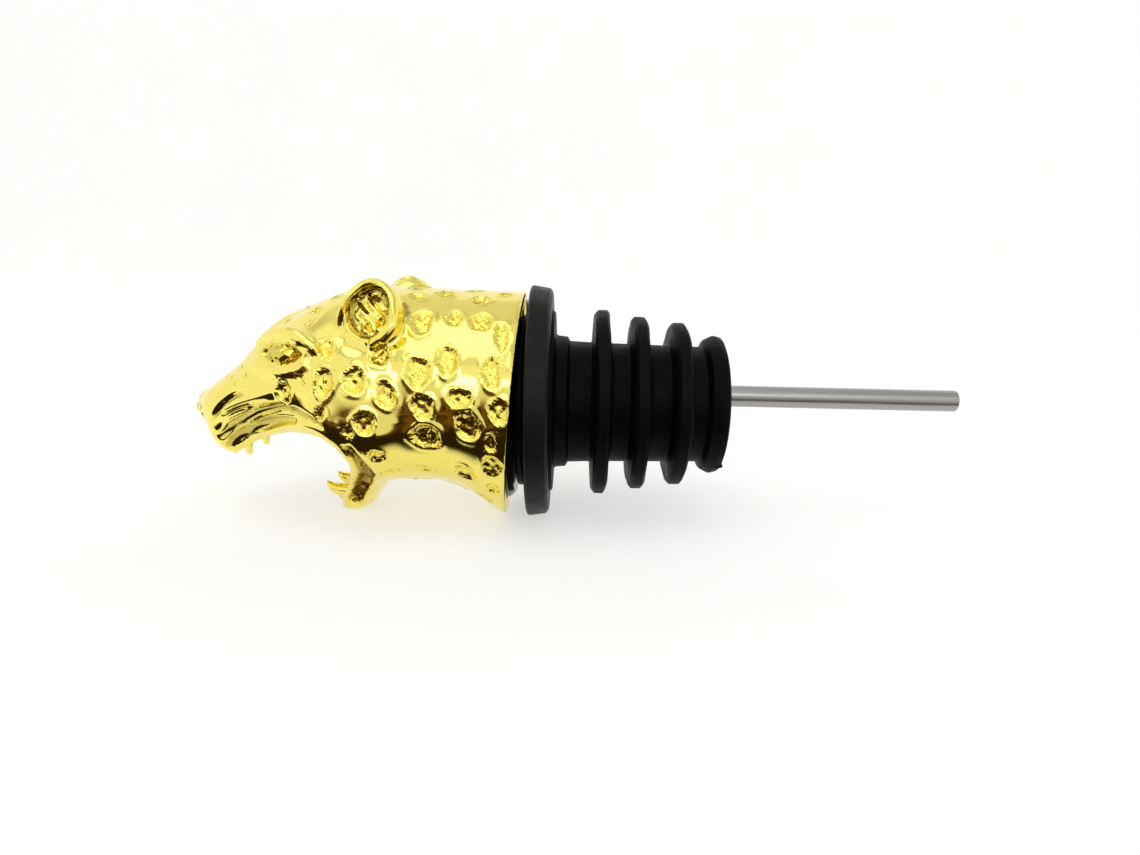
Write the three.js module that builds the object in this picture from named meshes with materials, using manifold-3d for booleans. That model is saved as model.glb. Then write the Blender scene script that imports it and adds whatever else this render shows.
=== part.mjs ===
// Liquor pour spout with a leopard head, lying on a table with its crown up.
// Sizes are millimetres. X runs from the nose (-X) to the tip of the air tube (+X), Z is up.
// Pieces are drawn about the stopper's axis, with x = 0 on the face that sits on the bottle's lip.
import * as THREE from "three";
import { mergeVertices, toCreasedNormals } from "three/addons/utils/BufferGeometryUtils.js";
import Module from "manifold-3d";

const wasm = await Module();
wasm.setup();

// Overall placing: the axis height above the table and the shift that centres the footprint.
const AXIS_HEIGHT = 16.22;
const CENTRE_SHIFT = -3.75;

// Clearances
const GAP = 0.3;

// Flange washer
const WASHER_R = 16.2;
const WASHER_REAR_R = 15.7;
const WASHER_THICK = 3.0;
const WASHER_RECESS_R = 13.0;
const WASHER_RECESS_DEPTH = 0.9;

// Spigot of the plug, and the bores that run on it
const SPIGOT_R = 5.0;
const SPIGOT_END = 19.5;
const SPIGOT_BORE_R = 3.8;
const SLEEVE_BORE_R = SPIGOT_R + GAP;

// Plug that closes the head
const PLUG_R = 13.7;
const PLUG_REAR = -4.7;
const PLUG_STEP = -7.8;
const PLUG_BOSS_R = 9.0;
const PLUG_FRONT = -14.5;
const PLUG_POCKET_R = 5.3;
const PLUG_POCKET_FLOOR = -7.5;

// Ring between the plug and the washer
const RING_R = 12.0;
const RING_REAR = -WASHER_THICK - GAP;
const RING_FRONT = PLUG_REAR + GAP;

// Liquid duct and the air tube's holder
const DUCT_R = 5.0;
const DUCT_BORE_R = 4.3;
const DUCT_REAR = PLUG_POCKET_FLOOR - GAP;
const DUCT_FRONT = -25.5;
const HOLDER_R = 4.0;
const HOLDER_RING_BORE_R = 3.4;
const HOLDER_HUB_R = 2.4;
const HOLDER_HUB_BORE_R = 1.8;
const HOLDER_REAR = -9.5;
const HOLDER_FRONT = -12.5;
const HOLDER_LEG = 0.9;

// Air tube
const TUBE_R = 1.5;
const TUBE_BORE_R = 1.15;
const TUBE_RISE = 1.3;
const TUBE_TIP = 57.4;
const TUBE_HEAD_END = -21.5;

// Head
const SOCKET_R = PLUG_R + GAP + 0.1;
const SOCKET_STEP = -8.2;
const SOCKET_BOSS_R = PLUG_BOSS_R + GAP;
const SOCKET_FLOOR = -14.9;
const THROAT_R = DUCT_R + GAP;
const REAR_TILT = 0.073;
const REAR_X = -4.75;

// Stopper sleeve: half profile from the head side to the bottle side, [x, radius].
const SLEEVE_OUTLINE = [
  [-0.6, 12.7],
  [0.45, 12.7],
  [0.6, 9.3],
  [2.2, 9.2],
  [2.5, 8.6],
  [5.6, 8.5],
  [6.1, 9.2],
  [6.3, 12.6],
  [6.7, 13.0],
  [7.4, 13.0],
  [7.8, 12.5],
  [8.3, 8.9],
  [9.0, 8.4],
  [10.7, 8.4],
  [11.2, 9.1],
  [11.4, 11.7],
  [11.8, 12.1],
  [12.5, 12.1],
  [12.9, 11.6],
  [13.4, 8.8],
  [14.1, 8.3],
  [16.1, 8.3],
  [16.6, 9.0],
  [16.8, 11.1],
  [17.2, 11.5],
  [17.9, 11.5],
  [18.3, 11.0],
  [18.8, 8.7],
  [19.5, 8.2],
  [21.1, 8.2],
  [22.0, 9.3],
  [22.7, 9.6],
  [23.3, 9.4],
  [23.7, 8.8],
];

// Head stations from nose to neck: [x, top, bottom, half width, height of the widest line, squareness].
// Squareness 1 is an ellipse, and less than 1 is fuller in the corners.
const HEAD_STATIONS = [
  [-49.9, -0.1, -1.3, 1.6, -0.7, 0.9],
  [-49.5, 0.9, -2.2, 3.6, -0.8, 0.9],
  [-48.6, 2.1, -3.4, 5.4, -1.0, 0.85],
  [-47.2, 3.6, -5.4, 7.2, -1.4, 0.85],
  [-45.6, 4.9, -6.8, 8.6, -1.8, 0.85],
  [-43.9, 6.2, -7.3, 9.6, -1.8, 0.85],
  [-42.4, 7.7, -6.0, 10.3, -1.0, 0.88],
  [-40.5, 10.0, -5.2, 10.9, 0.3, 0.9],
  [-38.2, 11.4, -4.5, 11.8, 1.4, 0.92],
  [-35.6, 12.7, -4.2, 12.9, 2.2, 0.95],
  [-33.0, 13.8, -4.9, 13.9, 2.4, 1.0],
  [-30.8, 14.8, -6.1, 14.6, 2.0, 1.0],
  [-29.2, 15.4, -8.0, 15.0, 1.4, 1.0],
  [-28.0, 15.8, -10.2, 15.2, 0.8, 1.0],
  [-26.0, 16.1, -11.4, 15.4, 0.4, 1.0],
  [-23.5, 16.3, -10.8, 15.5, 0.2, 1.0],
  [-20.5, 16.4, -10.1, 15.5, 0.2, 1.0],
  [-16.2, 16.2, -10.8, 15.5, 0.1, 1.0],
  [-12.9, 16.0, -12.2, 15.6, 0.0, 1.0],
  [-9.5, 15.8, -14.6, 15.8, -0.2, 1.0],
  [-6.8, 15.8, -16.2, 16.0, -0.2, 1.0],
  [-2.5, 15.8, -16.3, 16.0, -0.2, 1.0],
];

// Lower jaw stations from the cheek down to the chin: [z, front x, rear x, half width].
const JAW_STATIONS = [
  [-3.5, -26.5, -17.0, 13.2],
  [-7.0, -28.6, -19.0, 12.6],
  [-9.5, -28.3, -21.4, 11.2],
  [-11.6, -28.4, -23.8, 9.6],
  [-13.6, -29.2, -25.0, 8.2],
  [-14.9, -30.0, -25.9, 6.9],
  [-15.6, -29.5, -26.6, 5.4],
  [-15.8, -28.9, -27.2, 4.2],
];

const EAR = { x: -22.8, y: 11.4, z: 13.4, turn: 0.47 };
const EYE = { x: -34.2, y: 10.9, z: 8.6 };

// Materials
const goldPlate = new THREE.MeshStandardMaterial({
  name: "gold_plate",
  color: 0xe8d25a,
  roughness: 0.12,
  metalness: 1,
});
const blackRubber = new THREE.MeshStandardMaterial({
  name: "black_rubber",
  color: 0x171716,
  roughness: 0.62,
  metalness: 0,
});
const glossBlack = new THREE.MeshStandardMaterial({
  name: "gloss_black_plastic",
  color: 0x0b0b0c,
  roughness: 0.15,
  metalness: 0,
});
const ductPlastic = new THREE.MeshStandardMaterial({
  name: "black_plastic",
  color: 0x1c1c1e,
  roughness: 0.4,
  metalness: 0,
});
const stainless = new THREE.MeshStandardMaterial({
  name: "stainless_steel",
  color: 0xb9b8b4,
  roughness: 0.28,
  metalness: 1,
});

// A closed geometry as a solid for joins and cuts.
function solid(geometry) {
  const bare = geometry.index ? geometry.toNonIndexed() : geometry.clone();
  bare.deleteAttribute("normal");
  bare.deleteAttribute("uv");
  const merged = mergeVertices(bare, 1e-4);
  const triVerts = new Uint32Array(merged.index.array);
  const vertProperties = merged.attributes.position.array;
  return new wasm.Manifold(new wasm.Mesh({ numProp: 3, vertProperties, triVerts }));
}

// A solid as a named mesh.
function piece(name, shape, material) {
  const made = shape.getMesh();
  const geometry = new THREE.BufferGeometry();
  geometry.setAttribute("position", new THREE.BufferAttribute(made.vertProperties, 3));
  geometry.setIndex(new THREE.BufferAttribute(made.triVerts, 1));
  const mesh = new THREE.Mesh(toCreasedNormals(geometry, 0.6), material);
  mesh.name = name;
  return mesh;
}

// A solid turned about the X axis from a closed outline of [x, radius] corners.
function turned(outline, segments) {
  const points = outline.map(([x, r]) => new THREE.Vector2(r, x));
  points.push(points[0].clone());
  const geometry = new THREE.LatheGeometry(points, segments);
  geometry.rotateZ(-Math.PI / 2);
  return solid(geometry);
}

// A plain ring from x0 to x1 about the X axis.
function ring(x0, x1, outer, inner, segments) {
  return turned([[x0, inner], [x0, outer], [x1, outer], [x1, inner]], segments);
}

// A plain rod from x0 to x1 along X, centred on height z.
function rod(x0, x1, radius, z, segments) {
  const geometry = new THREE.CylinderGeometry(radius, radius, x1 - x0, segments);
  geometry.rotateZ(-Math.PI / 2);
  geometry.translate((x0 + x1) / 2, 0, z);
  return solid(geometry);
}

// An ellipsoid with radii rx, ry, rz, turned by the given angles and moved to its centre.
function ellipsoid(radii, centre, turn = [0, 0, 0], segments = [14, 9]) {
  const geometry = new THREE.SphereGeometry(1, segments[0], segments[1]);
  geometry.scale(...radii);
  geometry.rotateX(turn[0]);
  geometry.rotateY(turn[1]);
  geometry.rotateZ(turn[2]);
  geometry.translate(...centre);
  return solid(geometry);
}

function signedPower(value, power) {
  return Math.sign(value) * Math.abs(value) ** power;
}

// Values of a table of stations at a fraction of its length.
function stationAt(stations, fraction) {
  const place = fraction * (stations.length - 1);
  const low = Math.min(Math.floor(place), stations.length - 2);
  const share = place - low;
  return stations[low].map((v, k) => v + (stations[low + 1][k] - v) * share);
}

// A cylinder whose sections are moved to a table of stations by shape(station, sine, cosine, radius).
function lofted(stations, around, shape) {
  const geometry = new THREE.CylinderGeometry(1, 1, 1, around, stations.length - 1);
  const position = geometry.attributes.position;
  for (let i = 0; i < position.count; i += 1) {
    const radius = Math.hypot(position.getX(i), position.getZ(i));
    const angle = Math.atan2(position.getX(i), position.getZ(i));
    const station = stationAt(stations, position.getY(i) + 0.5);
    position.setXYZ(i, ...shape(station, Math.sin(angle), Math.cos(angle), radius));
  }
  return solid(geometry);
}

function headSection([x, top, bottom, width, middle, squareness], sine, cosine, radius) {
  const reach = cosine > 0 ? top - middle : middle - bottom;
  const y = -width * signedPower(sine, squareness) * radius;
  const z = middle + reach * signedPower(cosine, squareness) * radius;
  return [x, y, z];
}

function jawSection([z, front, rear, width], sine, cosine, radius) {
  const x = (front + rear) / 2 + ((rear - front) / 2) * signedPower(sine, 0.8) * radius;
  const y = width * signedPower(cosine, 0.8) * radius;
  return [x, y, z];
}

// Leopard head
function leopardHead() {
  const skull = lofted(HEAD_STATIONS, 36, headSection);
  const jaw = lofted(JAW_STATIONS, 24, jawSection);
  let head = skull.add(jaw);

  // The rear is cut on a slight slant.
  const rear = new THREE.BoxGeometry(20, 60, 60);
  rear.translate(10, 0, 0);
  rear.rotateY(REAR_TILT);
  rear.translate(REAR_X, 0, 0);
  head = head.subtract(solid(rear));

  // Mouth: roof of the upper jaw, gullet and trough of the lower jaw.
  head = head.subtract(ellipsoid([9.2, 7.4, 5.6], [-36.6, 0, -6.9]));
  head = head.subtract(ellipsoid([7.0, 9.2, 6.6], [-32.2, 0, -8.2]));
  head = head.subtract(ellipsoid([3.2, 6.4, 5.0], [-29.6, 0, -11.4], [0, -0.25, 0]));

  // Socket for the plug and channel to the throat.
  head = head.subtract(rod(SOCKET_STEP, 5, SOCKET_R, 0, 56));
  head = head.subtract(rod(SOCKET_FLOOR, SOCKET_STEP + 1, SOCKET_BOSS_R, 0, 40));
  head = head.subtract(rod(-34, SOCKET_FLOOR + 1, THROAT_R, 0, 32));

  for (const side of [-1, 1]) {
    // Ear cup, open forward and outward.
    const turn = [0, 0, side * EAR.turn];
    const cup = [EAR.x, side * EAR.y, EAR.z];
    const bowl = [
      EAR.x - Math.sin(EAR.turn) * 1.9,
      side * (EAR.y + Math.cos(EAR.turn) * 1.9),
      EAR.z + 0.2,
    ];
    head = head.add(ellipsoid([4.2, 2.9, 4.8], cup, turn, [20, 12]));
    head = head.subtract(ellipsoid([3.2, 2.8, 3.8], bowl, turn, [18, 12]));
    // Eye in its socket under the brow.
    const eye = [EYE.x, side * EYE.y, EYE.z];
    const brow = [EYE.x + 0.2, side * (EYE.y - 0.7), EYE.z + 1.7];
    head = head.add(ellipsoid([4.4, 1.6, 1.1], brow, [side * 0.5, 0.15, side * 0.25]));
    head = head.subtract(ellipsoid([3.2, 1.7, 1.5], eye, [side * 0.5, 0.15, side * 0.25]));
    head = head.add(ellipsoid([2.1, 1.4, 1.1], [EYE.x, side * (EYE.y - 1.0), EYE.z]));
    // Whisker pad and nostril.
    head = head.add(ellipsoid([5.6, 2.6, 3.4], [-43.4, side * 7.2, -2.6], [0, 0, side * 0.35]));
    head = head.subtract(ellipsoid([0.9, 0.8, 0.6], [-49.5, side * 1.9, 0.1], [0, 0, 0], [10, 6]));
    // Upper and lower fangs.
    const upper = new THREE.ConeGeometry(0.8, 4.6, 10);
    upper.rotateX(-Math.PI / 2);
    upper.translate(-43.4, side * 5.0, -6.6);
    head = head.add(solid(upper));
    const lower = new THREE.ConeGeometry(1.1, 5.2, 10);
    lower.rotateX(Math.PI / 2);
    lower.rotateY(-0.95);
    lower.translate(-29.2, side * 5.3, -11.6);
    head = head.add(solid(lower));
  }
  return head;
}

// Air tube holder: an outer ring, a hub off centre and three legs between them.
function tubeHolder() {
  const length = HOLDER_REAR - HOLDER_FRONT;
  const middle = (HOLDER_REAR + HOLDER_FRONT) / 2;
  let shape = ring(HOLDER_FRONT, HOLDER_REAR, HOLDER_R, HOLDER_RING_BORE_R, 32);
  for (let i = 0; i < 3; i += 1) {
    const angle = Math.PI / 2 + (i * 2 * Math.PI) / 3;
    const start = new THREE.Vector2(0, TUBE_RISE);
    const end = new THREE.Vector2(Math.cos(angle), Math.sin(angle)).multiplyScalar((HOLDER_R + HOLDER_RING_BORE_R) / 2);
    const reach = end.clone().sub(start);
    const leg = new THREE.BoxGeometry(length * 0.8, reach.length(), HOLDER_LEG);
    leg.rotateX(reach.angle());
    leg.translate(middle, (start.x + end.x) / 2, (start.y + end.y) / 2);
    shape = shape.add(solid(leg));
  }
  shape = shape.add(rod(HOLDER_FRONT, HOLDER_REAR, HOLDER_HUB_R, TUBE_RISE, 24));
  return shape.subtract(rod(HOLDER_FRONT - 1, HOLDER_REAR + 1, HOLDER_HUB_BORE_R, TUBE_RISE, 24));
}

const backPlug = turned(
  [
    [PLUG_FRONT, PLUG_POCKET_R],
    [PLUG_FRONT, PLUG_BOSS_R],
    [PLUG_STEP, PLUG_BOSS_R],
    [PLUG_STEP, PLUG_R],
    [PLUG_REAR - 0.8, PLUG_R],
    [PLUG_REAR, PLUG_R - 0.7],
    [PLUG_REAR, SPIGOT_R],
    [SPIGOT_END - 0.8, SPIGOT_R],
    [SPIGOT_END, SPIGOT_R - 0.5],
    [SPIGOT_END, SPIGOT_BORE_R],
    [PLUG_POCKET_FLOOR, SPIGOT_BORE_R],
    [PLUG_POCKET_FLOOR, PLUG_POCKET_R],
  ],
  56,
);

const flangeWasher = turned(
  [
    [-WASHER_THICK, SLEEVE_BORE_R],
    [-WASHER_THICK, WASHER_R - 0.5],
    [-WASHER_THICK + 0.5, WASHER_R],
    [-0.6, WASHER_REAR_R + 0.1],
    [0, WASHER_REAR_R - 0.4],
    [0, WASHER_RECESS_R],
    [-WASHER_RECESS_DEPTH, WASHER_RECESS_R],
    [-WASHER_RECESS_DEPTH, SLEEVE_BORE_R],
  ],
  64,
);

const sleeveFirst = SLEEVE_OUTLINE[0][0];
const sleeveLast = SLEEVE_OUTLINE[SLEEVE_OUTLINE.length - 1][0];
const stopperSleeve = turned(
  [[sleeveFirst, SLEEVE_BORE_R], ...SLEEVE_OUTLINE, [sleeveLast, SLEEVE_BORE_R]],
  36,
);

const airTube = rod(TUBE_HEAD_END, TUBE_TIP, TUBE_R, TUBE_RISE, 32).subtract(
  rod(TUBE_HEAD_END - 1, TUBE_TIP + 1, TUBE_BORE_R, TUBE_RISE, 32),
);

const spout = new THREE.Group();
spout.name = "spout";
spout.add(piece("leopard_head", leopardHead(), goldPlate));
spout.add(piece("back_plug", backPlug, glossBlack));
spout.add(piece("seal_ring", ring(RING_FRONT, RING_REAR, RING_R, SLEEVE_BORE_R, 48), blackRubber));
spout.add(piece("pour_duct", ring(DUCT_FRONT, DUCT_REAR, DUCT_R, DUCT_BORE_R, 32), ductPlastic));
spout.add(piece("tube_holder", tubeHolder(), ductPlastic));
spout.add(piece("flange_washer", flangeWasher, blackRubber));
spout.add(piece("stopper_sleeve", stopperSleeve, blackRubber));
spout.add(piece("air_tube", airTube, stainless));
spout.position.set(CENTRE_SHIFT, 0, AXIS_HEIGHT);

const part = new THREE.Group();
part.name = "liquor_pour_spout";
part.add(spout);

export default part;
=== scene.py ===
"""Looks of a bottle pour spout: a gold-plated leopard head, a black rubber stopper and a steel air tube."""

import math

import bpy
import numpy as np
from mathutils import Matrix, Vector


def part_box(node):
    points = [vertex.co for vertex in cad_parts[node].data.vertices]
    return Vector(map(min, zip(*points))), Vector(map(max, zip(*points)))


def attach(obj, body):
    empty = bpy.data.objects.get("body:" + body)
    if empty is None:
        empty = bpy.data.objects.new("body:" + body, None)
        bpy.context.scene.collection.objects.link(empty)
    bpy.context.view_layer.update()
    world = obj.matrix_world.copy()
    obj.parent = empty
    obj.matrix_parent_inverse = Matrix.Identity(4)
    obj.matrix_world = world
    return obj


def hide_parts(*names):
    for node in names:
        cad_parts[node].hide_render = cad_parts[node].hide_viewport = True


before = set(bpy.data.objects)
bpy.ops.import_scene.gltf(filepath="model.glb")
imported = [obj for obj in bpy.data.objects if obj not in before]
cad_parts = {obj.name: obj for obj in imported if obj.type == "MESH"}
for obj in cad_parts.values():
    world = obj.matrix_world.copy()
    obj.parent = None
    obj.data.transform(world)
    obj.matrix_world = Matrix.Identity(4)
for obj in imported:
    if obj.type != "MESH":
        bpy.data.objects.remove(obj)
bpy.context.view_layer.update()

MM = 0.001

# The stopper's axis: every outline below is in millimetres about it, with x = 0 on the bottle-lip face.
WASHER_LOW, WASHER_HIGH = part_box("flange_washer")
AXIS_POINT = np.array([WASHER_HIGH.x, 0.0, (WASHER_LOW.z + WASHER_HIGH.z) / 2])


def to_frame(points_mm):
    """Points about the stopper's axis in millimetres, as points of the frame in metres."""
    return np.asarray(points_mm, dtype=float) * MM + AXIS_POINT


# ---------------------------------------------------------------- sculpting
# The leopard's head is sculpted as a distance field on a grid and meshed by surface nets.
# Lengths here are millimetres about the stopper's axis, with x = 0 on the bottle-lip face.

CELL = 0.305
GRID_LOW = (-51.6, 0.0, -18.3)
GRID_HIGH = (-2.4, 18.6, 20.1)

# The leaning rear edge of the head, the plug's stepped socket and the throat behind it.
REAR_X = -4.75
REAR_TILT = 0.073
SOCKET_R = 14.1
SOCKET_STEP = -8.2
SOCKET_BOSS_R = 9.3
SOCKET_FLOOR = -14.9
THROAT_R = 5.3
THROAT_FRONT = -34.0


def grid_axes():
    xs = np.arange(GRID_LOW[0], GRID_HIGH[0], CELL)
    ys = np.arange(GRID_LOW[1], GRID_HIGH[1], CELL)
    zs = np.arange(GRID_LOW[2], GRID_HIGH[2], CELL)
    return [a.astype(np.float32) for a in (xs, ys, zs)]


def smooth_min(a, b, k):
    h = np.clip(0.5 + 0.5 * (b - a) / k, 0.0, 1.0)
    return b + (a - b) * h - k * h * (1.0 - h)


def smooth_max(a, b, k):
    return -smooth_min(-a, -b, k)


def through(table, at):
    """The columns of a table, smoothly interpolated at the given values of its first column."""
    t = np.array(table, dtype=float)
    x = t[:, 0]
    slopes = np.gradient(t[:, 1:], x, axis=0)
    i = np.clip(np.searchsorted(x, at) - 1, 0, len(x) - 2)
    h = (x[i + 1] - x[i])[:, None]
    u = np.clip((at - x[i]) / h[:, 0], 0, 1)[:, None]
    a, b = t[i, 1:], t[i + 1, 1:]
    ma, mb = slopes[i] * h, slopes[i + 1] * h
    out = (
        (2 * u**3 - 3 * u**2 + 1) * a
        + (u**3 - 2 * u**2 + u) * ma
        + (3 * u**2 - 2 * u**3) * b
        + (u**3 - u**2) * mb
    )
    return [out[:, k].astype(np.float32) for k in range(out.shape[1])]


class Field:
    """A distance field over half the head (y >= 0) that primitives are blended into."""

    def __init__(self):
        self.xs, self.ys, self.zs = grid_axes()
        shape = (len(self.xs), len(self.ys), len(self.zs))
        self.d = np.full(shape, 50.0, dtype=np.float32)
        self.recess = np.zeros(shape, dtype=np.float32)
        self.painted_shade_and_dull = np.zeros(shape, dtype=np.float32)

    def part(self, low, high):
        """Slices and coordinates of the block between two corners."""
        cuts = []
        for axis, a, b in zip((self.xs, self.ys, self.zs), low, high):
            first = int(np.clip(np.searchsorted(axis, a) - 1, 0, len(axis) - 1))
            last = int(np.clip(np.searchsorted(axis, b) + 1, first + 1, len(axis)))
            cuts.append(slice(first, last))
        cuts = tuple(cuts)
        x = self.xs[cuts[0]][:, None, None]
        y = self.ys[cuts[1]][None, :, None]
        z = self.zs[cuts[2]][None, None, :]
        return cuts, x, y, z

    def add(self, cuts, d, k):
        self.d[cuts] = smooth_min(self.d[cuts], d, k)

    def cut(self, cuts, d, k):
        self.d[cuts] = smooth_max(self.d[cuts], -d, k)

    def whole(self):
        return self.part(GRID_LOW, GRID_HIGH)[0]

    def skin(self, x, z):
        """How far the skin lies from the middle plane, at a place seen from the side."""
        column = self.d[
            int(np.clip(round((x - self.xs[0]) / CELL), 0, len(self.xs) - 1)),
            :,
            int(np.clip(round((z - self.zs[0]) / CELL), 0, len(self.zs) - 1)),
        ]
        inside = np.nonzero(column < 0)[0]
        if len(inside) == 0 or inside[-1] + 1 >= len(column):
            return 0.0
        j = inside[-1]
        return float(self.ys[j] + CELL * column[j] / (column[j] - column[j + 1]))

    def along(self, line, count, lift=0.0):
        """A smooth line through (x, z) places on the skin, lifted off it."""
        path = curve_through([(x, 0.0, z) for x, z in line], count)
        path[:, 1] = [self.skin(x, z) + lift for x, _, z in path]
        for _ in range(2):
            path[1:-1, 1] = (path[:-2, 1] + 2 * path[1:-1, 1] + path[2:, 1]) / 4
        return path

    def over(self, line, count, lift=0.0):
        """A smooth line through (x, y) places on the top of the skin, lifted off it."""
        path = curve_through([(x, y, 0.0) for x, y in line], count)
        for point in path:
            i = int(round((point[0] - self.xs[0]) / CELL))
            j = int(round((point[1] - self.ys[0]) / CELL))
            top = np.nonzero(self.d[i, j] < 0)[0][-1]
            before, after = self.d[i, j, top], self.d[i, j, top + 1]
            point[2] = self.zs[top] + CELL * before / (before - after) + lift
        path[1:-1, 2] = (path[:-2, 2] + 2 * path[1:-1, 2] + path[2:, 2]) / 4
        return path

    def soften(self, low, high, passes):
        """Evens out the skin in the block between two corners, as tumbling does."""
        block = self.d[self.part(low, high)[0]]
        for _ in range(passes):
            for axis in range(3):
                inner = np.moveaxis(block, axis, 0)
                inner[1:-1] = (inner[:-2] + 2 * inner[1:-1] + inner[2:]) / 4

    def mark(self, cuts, share):
        """Marks where the skin is a sunk, grained recess; the gold there also gets a painted shade tone."""
        self.recess[cuts] = np.maximum(self.recess[cuts], share.astype(np.float32))

    def paint_shade_and_dull(self, cuts, share):
        """Marks painted shade: the plating there is painted darker, as shade in creases and hollows, and is
        made rougher where the tumbling never reached.
        """
        self.painted_shade_and_dull[cuts] = np.maximum(self.painted_shade_and_dull[cuts], share.astype(np.float32))

    def ellipsoid(self, centre, radii, k=0.6, turn=None, cut=False):
        reach = max(radii) + 2.5 * k + 1.0
        cuts, x, y, z = self.part(np.array(centre) - reach, np.array(centre) + reach)
        p = [x - centre[0], y - centre[1], z - centre[2]]
        if turn is not None:
            m = turning(turn) if len(turn) == 3 and np.ndim(turn) == 1 else turn
            p = [m[0][i] * p[0] + m[1][i] * p[1] + m[2][i] * p[2] for i in range(3)]
        k0 = np.sqrt(sum((q / r) ** 2 for q, r in zip(p, radii))) + 1e-6
        k1 = np.sqrt(sum((q / (r * r)) ** 2 for q, r in zip(p, radii))) + 1e-6
        d = (k0 * (k0 - 1.0) / k1).astype(np.float32)
        (self.cut if cut else self.add)(cuts, d, k)

    def cord(self, points, radii, k=0.4, cut=False):
        """A rounded line through the points, with a radius at each point."""
        pts = np.array(points, dtype=float)
        rad = np.broadcast_to(np.array(radii, dtype=float), (len(pts),))
        reach = rad.max() + 2.5 * k + 1.0
        cuts, x, y, z = self.part(pts.min(0) - reach, pts.max(0) + reach)
        best = None
        for a, b, ra, rb in zip(pts[:-1], pts[1:], rad[:-1], rad[1:]):
            v = b - a
            t = ((x - a[0]) * v[0] + (y - a[1]) * v[1] + (z - a[2]) * v[2]) / (v @ v)
            t = np.clip(t, 0.0, 1.0)
            dx, dy, dz = x - a[0] - t * v[0], y - a[1] - t * v[1], z - a[2] - t * v[2]
            d = np.sqrt(dx * dx + dy * dy + dz * dz) - (ra + t * (rb - ra))
            best = d if best is None else np.minimum(best, d)
        (self.cut if cut else self.add)(cuts, best.astype(np.float32), k)


def turning(degrees):
    """Rotation matrix of turns about X, then Y, then Z."""
    a, b, c = (math.radians(v) for v in degrees)
    rx = np.array([[1, 0, 0], [0, math.cos(a), -math.sin(a)], [0, math.sin(a), math.cos(a)]])
    ry = np.array([[math.cos(b), 0, math.sin(b)], [0, 1, 0], [-math.sin(b), 0, math.cos(b)]])
    rz = np.array([[math.cos(c), -math.sin(c), 0], [math.sin(c), math.cos(c), 0], [0, 0, 1]])
    return rz @ ry @ rx


def curve_through(points, count):
    """A smooth line through a few points, resampled to count points."""
    pts = np.array(points, dtype=float)
    along = np.concatenate([[0], np.cumsum(np.linalg.norm(np.diff(pts[:, :3], axis=0), axis=1))])
    table = np.column_stack([along, pts])
    return np.column_stack(through(table, np.linspace(0, along[-1], count)))


def swell(count, first, middle, last, peak=0.5):
    """Sizes along a line, from first through middle at the peak to last."""
    t = np.linspace(0, 1, count)
    return np.where(
        t < peak,
        middle + (first - middle) * (1 - t / peak) ** 2,
        middle + (last - middle) * ((t - peak) / (1 - peak)) ** 2,
    )


# Skull and neck: [x, top, bottom, half width, height of the widest line, squareness].
SKULL = [
    [-50.1, -1.1, -1.3, 0.6, -1.2, 2.0],
    [-49.8, -0.6, -2.0, 1.7, -1.2, 2.1],
    [-49.1, 0.1, -3.0, 3.0, -1.3, 2.2],
    [-48.0, 1.0, -4.2, 4.3, -1.4, 2.3],
    [-46.6, 2.2, -5.9, 5.8, -1.6, 2.4],
    [-45.0, 3.4, -7.6, 7.0, -1.8, 2.4],
    [-43.2, 4.8, -8.2, 7.9, -1.8, 2.4],
    [-41.6, 6.3, -7.5, 8.5, -1.2, 2.3],
    [-40.0, 8.1, -6.7, 9.1, -0.4, 2.3],
    [-38.0, 9.9, -5.9, 10.0, 0.6, 2.2],
    [-35.6, 11.4, -5.4, 11.2, 1.4, 2.1],
    [-33.0, 12.8, -5.8, 12.5, 1.8, 2.05],
    [-30.8, 13.9, -6.9, 13.4, 1.6, 2.0],
    [-29.0, 14.6, -8.4, 14.0, 1.0, 2.0],
    [-27.0, 15.1, -10.4, 14.4, 0.4, 2.0],
    [-24.5, 15.5, -11.5, 14.7, 0.1, 2.0],
    [-21.5, 15.6, -11.3, 14.8, 0.0, 2.0],
    [-18.5, 15.5, -11.1, 14.8, 0.0, 2.0],
    [-15.0, 15.4, -11.2, 14.9, -0.1, 2.0],
    [-12.0, 15.3, -12.0, 15.0, -0.2, 2.0],
    [-9.0, 15.3, -14.0, 15.3, -0.3, 2.0],
    [-6.5, 15.3, -15.8, 15.6, -0.4, 2.0],
    [-2.0, 15.3, -16.5, 15.7, -0.4, 2.0],
]

# Lower jaw, hanging from the cheeks: [z, front x, rear x, half width].
JAW = [
    [-16.0, -28.8, -27.0, 2.4],
    [-15.4, -29.7, -25.8, 4.4],
    [-14.2, -30.0, -24.8, 5.8],
    [-12.5, -29.2, -23.5, 7.4],
    [-10.7, -28.2, -22.4, 9.0],
    [-9.0, -27.4, -20.6, 10.6],
    [-7.0, -26.8, -18.6, 12.2],
    [-4.5, -26.6, -17.5, 13.4],
    [-2.0, -26.0, -17.0, 14.0],
]

# Edge of the lips as (x, z) places, from the front of the muzzle round the corner to the chin.
LIP = [
    (-45.3, -8.2),
    (-43.7, -7.4),
    (-41.7, -5.9),
    (-40.1, -5.1),
    (-37.9, -4.1),
    (-36.4, -3.6),
    (-34.5, -3.1),
    (-31.9, -2.6),
    (-29.6, -2.3),
    (-28.0, -2.6),
    (-26.7, -3.4),
    (-25.6, -4.7),
    (-25.1, -6.2),
    (-25.4, -8.1),
    (-26.3, -10.0),
    (-28.5, -13.4),
    (-29.5, -14.4),
]

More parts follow.
